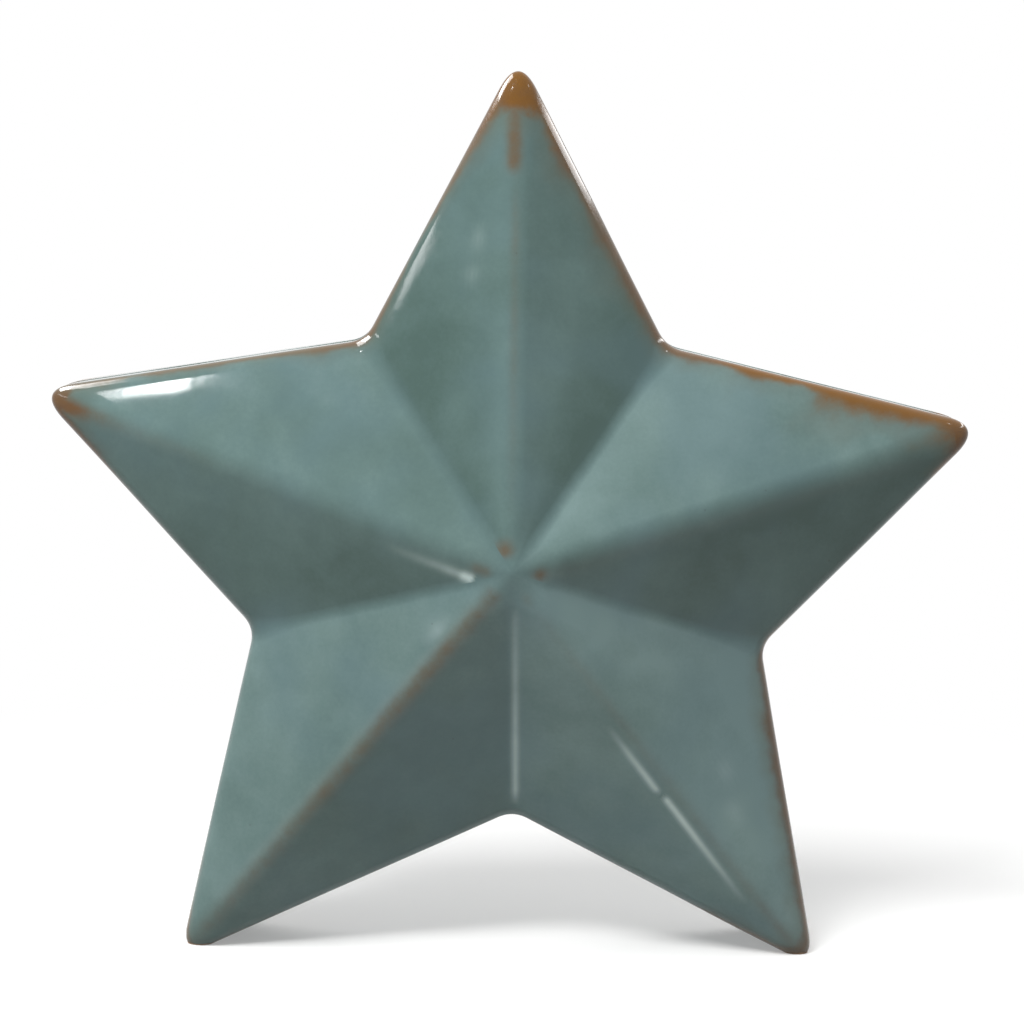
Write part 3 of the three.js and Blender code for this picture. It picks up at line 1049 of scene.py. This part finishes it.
# %% One half
def open_edge(bm, first, last):
    """The boundary edges of the shell whose points have these numbers."""
    return [edge for edge in bm.edges if edge.is_boundary and first <= edge.verts[0].index < last]


def half(name, node, side, table):
    outer = grown(name, side, side > 0, OUTER_FACE)
    inner = grown(name, side, side < 0, INNER_FACE)
    paint(outer, table, bare=0.0)
    paint(inner, table, bare=1.0)
    bm = bmesh.new()
    bm.from_mesh(outer)
    outer_count = len(bm.verts)
    bm.from_mesh(inner)
    bm.verts.index_update()
    outer_edge = open_edge(bm, 0, outer_count)
    inner_edge = open_edge(bm, outer_count, len(bm.verts))
    print(name, "joins", len(outer_edge), "edges outside to", len(inner_edge), "inside")
    bmesh.ops.bridge_loops(bm, edges=outer_edge + inner_edge)
    ground(bm, level=0.0)
    mesh = bpy.data.meshes.new(name)
    bm.to_mesh(mesh)
    bm.free()
    piece = linked(name, mesh)
    bored(piece)
    finished(piece)
    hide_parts(node)
    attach(piece, "root")
    return piece


front = half("glazed_front", "front_half", -1.0, FRONT_BREAK)
back = half("glazed_back", "back_half", 1.0, BACK_BREAK)

# %% [markdown]
# ## The slip between the halves
#
# Slip is clay thinned to a cream, and it is the glue of pottery. It lies between the two
# halves all the way round, less than a millimetre thick, and what was squeezed inwards stands
# as a bead in the hollow. Outside it was sponged off, so under the glaze only a shallow line
# is left. It is one ring with the same section all round.

# %% The slip ring
SLIP_SUNK = 0.06
BEAD_HEIGHT = 2.0
BEAD_HALF_DEPTH = 2.4
BEAD_POINTS = 9
GLAZE_EDGE = 0.6


def slip_section():
    """Inset from the outline and depth from the seam plane, once round the section."""
    web = SLIP_THICKNESS / 2
    bead = [
        (WALL + BEAD_HEIGHT * math.cos(turn), BEAD_HALF_DEPTH * math.sin(turn))
        for turn in np.linspace(math.pi / 2, -math.pi / 2, BEAD_POINTS)
    ]
    outside = [(SLIP_SUNK, -web), (SLIP_SUNK, 0.0), (SLIP_SUNK, web)]
    return [*outside, (GLAZE_EDGE, web), (WALL, web), *bead, (WALL, -web), (GLAZE_EDGE, -web)]


def slip_mesh():
    """One loop of the outline for each point of the section, joined to a ring."""
    bm = bmesh.new()
    loops = []
    for inset, depth in slip_section():
        plan = [rounded(record) + inset * record["mitre"] for record in records]
        loops.append([bm.verts.new(((x + STAR_X) * MM, depth * MM, (y + STAR_Z) * MM)) for x, y in plan])
    for loop, after in zip(loops, [*loops[1:], loops[0]]):
        for i in range(COLUMNS):
            j = (i + 1) % COLUMNS
            bm.faces.new((loop[i], loop[j], after[j], after[i]))
    bmesh.ops.recalc_face_normals(bm, faces=bm.faces)
    mesh = bpy.data.meshes.new("slip_seam")
    bm.to_mesh(mesh)
    bm.free()
    return mesh


# %% The glaze over the slip, and its cuts
FAR_FROM_VALLEY = 9.0


def paint_slip(mesh):
    """Glaze as on the front's band beside it, and bare clay from the glaze's edge inwards."""
    insets = [inset for inset, _ in slip_section()]
    around = np.tile([record["around"] for record in records], len(insets))
    along_ridge = np.tile([rounded(record) @ record["ridge_line"] for record in records], len(insets))
    write_attributes(mesh, {
        "rim": np.full(len(around), -BAND_DEPTH / 2 - SHOULDER_ROUND * (math.pi / 2 - slope) / 2),
        "rim_break": read_round(FRONT_BREAK["rim"], around),
        "brown": read_round(FRONT_BREAK["brown"], around),
        "from_valley": np.full(len(around), FAR_FROM_VALLEY),
        "cap": below_tip(FRONT_BREAK, around, along_ridge),
        # Painted light and shade, as on the front's band beside it.
        "painted_light_and_shade": read_round(FRONT_BREAK["painted_light_and_shade"], around),
        "stain": np.zeros(len(around)),
        "painted_highlight": np.zeros(len(around)),
        "bare": (np.repeat(insets, COLUMNS) >= GLAZE_EDGE).astype(float),
    })


def slip_ring():
    mesh = slip_mesh()
    paint_slip(mesh)
    bm = bmesh.new()
    bm.from_mesh(mesh)
    ground(bm, level=SLIP_SUNK)
    bm.to_mesh(mesh)
    bm.free()
    piece = linked("slip_seam", mesh)
    bored(piece)
    finished(piece)
    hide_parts("seam_slip")
    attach(piece, "root")
    return piece


slip = slip_ring()
for piece in (front, back, slip):
    triangles = sum(len(polygon.vertices) - 2 for polygon in piece.data.polygons)
    print(piece.name, "has", triangles, "triangles")

# %% [markdown]
# ## Floor, lamps and background
#
# The star stands on a pale floor under a white sky. To the camera, and in the gloss, both
# show white, and the floor keeps the star's soft shadow. To the light that bounces about,
# the floor is greyer, because a white one would fill the lower facets with light and flatten
# the star.
#
# The light is soft and comes from high up, from the left of the camera. It is hidden from
# the gloss, where it would fill a whole facet. Small bright lamps draw the crisp lights that
# the photograph shows on the shoulders, and two panels show in the gloss only, so that they
# add no light to the star.


# %% Rays that see the surroundings white
WHITE_TO = ("Is Camera Ray", "Is Glossy Ray", "Is Transmission Ray")


def background_rays(g):
    """1 for the rays that see the floor and the sky white, and 0 for the light that bounces."""
    path = g.tree.nodes.new("ShaderNodeLightPath")
    camera_ray, glossy_ray, transmission_ray = (Wire(g, path.outputs[name]) for name in WHITE_TO)
    return camera_ray.high(glossy_ray).high(transmission_ray)


print("white to these rays:", WHITE_TO)

# %% Floor and surroundings
FLOOR_SEEN = colour(246, 246, 245)
FLOOR_BOUNCE = colour(160, 160, 158)
FLOOR_REACH = 6.0
FLOOR_GLOW_NEAR = 0.3
SHADOW_FADES = (0.06, 0.28)


def pale_floor():
    """A matt floor with a white glow, which is weak near the star so that the shadow shows."""
    mesh = bpy.data.meshes.new("floor")
    square = [(-1, -1), (1, -1), (1, 1), (-1, 1)]
    mesh.from_pydata([(x * FLOOR_REACH, y * FLOOR_REACH, 0) for x, y in square], [], [(0, 1, 2, 3)])
    floor = linked("floor", mesh)
    g = Surface("pale_floor", Roughness=0.9, Specular_IOR_Level=0.0)
    seen = background_rays(g)
    g.link("Base Color", g.blend(seen, FLOOR_BOUNCE, FLOOR_SEEN))
    glow = g.node("ShaderNodeEmission", {}, {"Color": (1, 1, 1, 1), "Strength": 1.0})
    away = g.vector("LENGTH", g.place, out=1).soft_step(*SHADOW_FADES)
    glowing = seen * (FLOOR_GLOW_NEAR + (1 - FLOOR_GLOW_NEAR) * away)
    sockets = {0: glowing, 1: Wire(g, g.shader.outputs[0]), 2: glow}
    mixed = g.node("ShaderNodeMixShader", {}, sockets)
    output = next(node for node in g.tree.nodes if node.type == "OUTPUT_MATERIAL")
    g.tree.links.new(mixed.socket, output.inputs["Surface"])
    mesh.materials.append(g.material)


def surroundings(strength):
    world = bpy.data.worlds.new("studio")
    bpy.context.scene.world = world
    world.use_nodes = True
    world.node_tree.nodes.clear()
    g = Graph(world.node_tree)
    level = strength + (1 - strength) * background_rays(g)
    sky = g.node("ShaderNodeBackground", {}, {"Color": (1, 1, 1, 1), "Strength": level})
    output = world.node_tree.nodes.new("ShaderNodeOutputWorld")
    world.node_tree.links.new(sky.socket, output.inputs["Surface"])


SKY_LEVEL = 0.22
pale_floor()
surroundings(SKY_LEVEL)
print("the sky lights the star at", SKY_LEVEL)


# %% One lamp
def lamp(name, spot, away, distance, size, brightness, long_side=None, in_gloss=True, in_glow=True):
    """A lamp that shines at a spot, in millimetres, from the direction away.

    size is the diameter of a round lamp, or the length and width of a long one, in metres, and
    long_side says which way its length runs. in_gloss says whether the glaze mirrors it, and
    in_glow whether it lights the glaze.
    """
    data = bpy.data.lights.new(name, "AREA")
    away = Vector(away).normalized()
    if long_side is None:
        data.shape, data.size = "DISK", size
        area = math.pi * size**2 / 4
        turned = away.to_track_quat("Z", "Y").to_matrix()
    else:
        data.shape, data.size, data.size_y = "RECTANGLE", size[0], size[1]
        area = size[0] * size[1]
        along_it = Vector(long_side) - away * away.dot(Vector(long_side))
        across = away.cross(along_it)
        turned = Matrix((along_it.normalized(), across.normalized(), away)).transposed()
    data.energy = brightness * math.pi * area
    light = linked(name, data)
    light.matrix_world = Matrix.Translation(Vector(spot) * MM + distance * away) @ turned.to_4x4()
    light.visible_camera = False
    light.visible_glossy = in_gloss
    light.visible_diffuse = in_glow


# %% Soft lamps
star_middle = (0, 0, STAR_Z)
lamp("soft_key", star_middle, toward(-38, 55), distance=1.1, size=0.6, brightness=18.3, in_gloss=False)
lamp("soft_back", star_middle, toward(150, 45), distance=1.7, size=0.9, brightness=6.0, in_gloss=False)
print("soft lamps:", [light.name for light in bpy.data.lights])

# %% Lamps that the glaze mirrors
lamp(
    "window", spot=(-75, -12, 123), away=toward(-25.05, 47.9),
    distance=1.2, size=(0.048, 0.067), brightness=70.0, long_side=(1, 0, 0),
)
lamp(
    "panel_left", spot=(-90, -10, 123), away=(-0.466, 0.288, 0.837),
    distance=1.0, size=(0.66, 0.30), brightness=13.0, long_side=(0.048, 0.952, -0.30), in_glow=False,
)
lamp(
    "panel_tip", spot=(-4, -10, 187), away=(-0.727, 0.318, 0.598),
    distance=0.5, size=(0.286, 0.13), brightness=24.0, long_side=(0.31, 0.93, -0.19), in_glow=False,
)
lamp(
    "tube_right", spot=(10, -10, 175), away=(0.80, 0.40, 0.45),
    distance=1.0, size=(1.0, 0.065), brightness=9.0, long_side=(-0.3, 0.9, -0.15),
)
lamp(
    "tube_left", spot=(-20, -11, 152), away=(-0.855, -0.311, 0.415),
    distance=1.0, size=(0.56, 0.035), brightness=12.0, long_side=(0.256, -0.949, -0.186),
)
lamp("spark_right", spot=(33, -11, 133), away=(0.63, -0.13, 0.77), distance=1.0, size=0.04, brightness=50.0)
print("lamps:", [light.name for light in bpy.data.lights])

# %% [markdown]
# ## The view transform
#
# The picture shows the colours with the Standard view transform. The dressed star has to stay
# inside the box of the fixed model.

# %% The view transform
bpy.context.scene.view_settings.view_transform = "Standard"
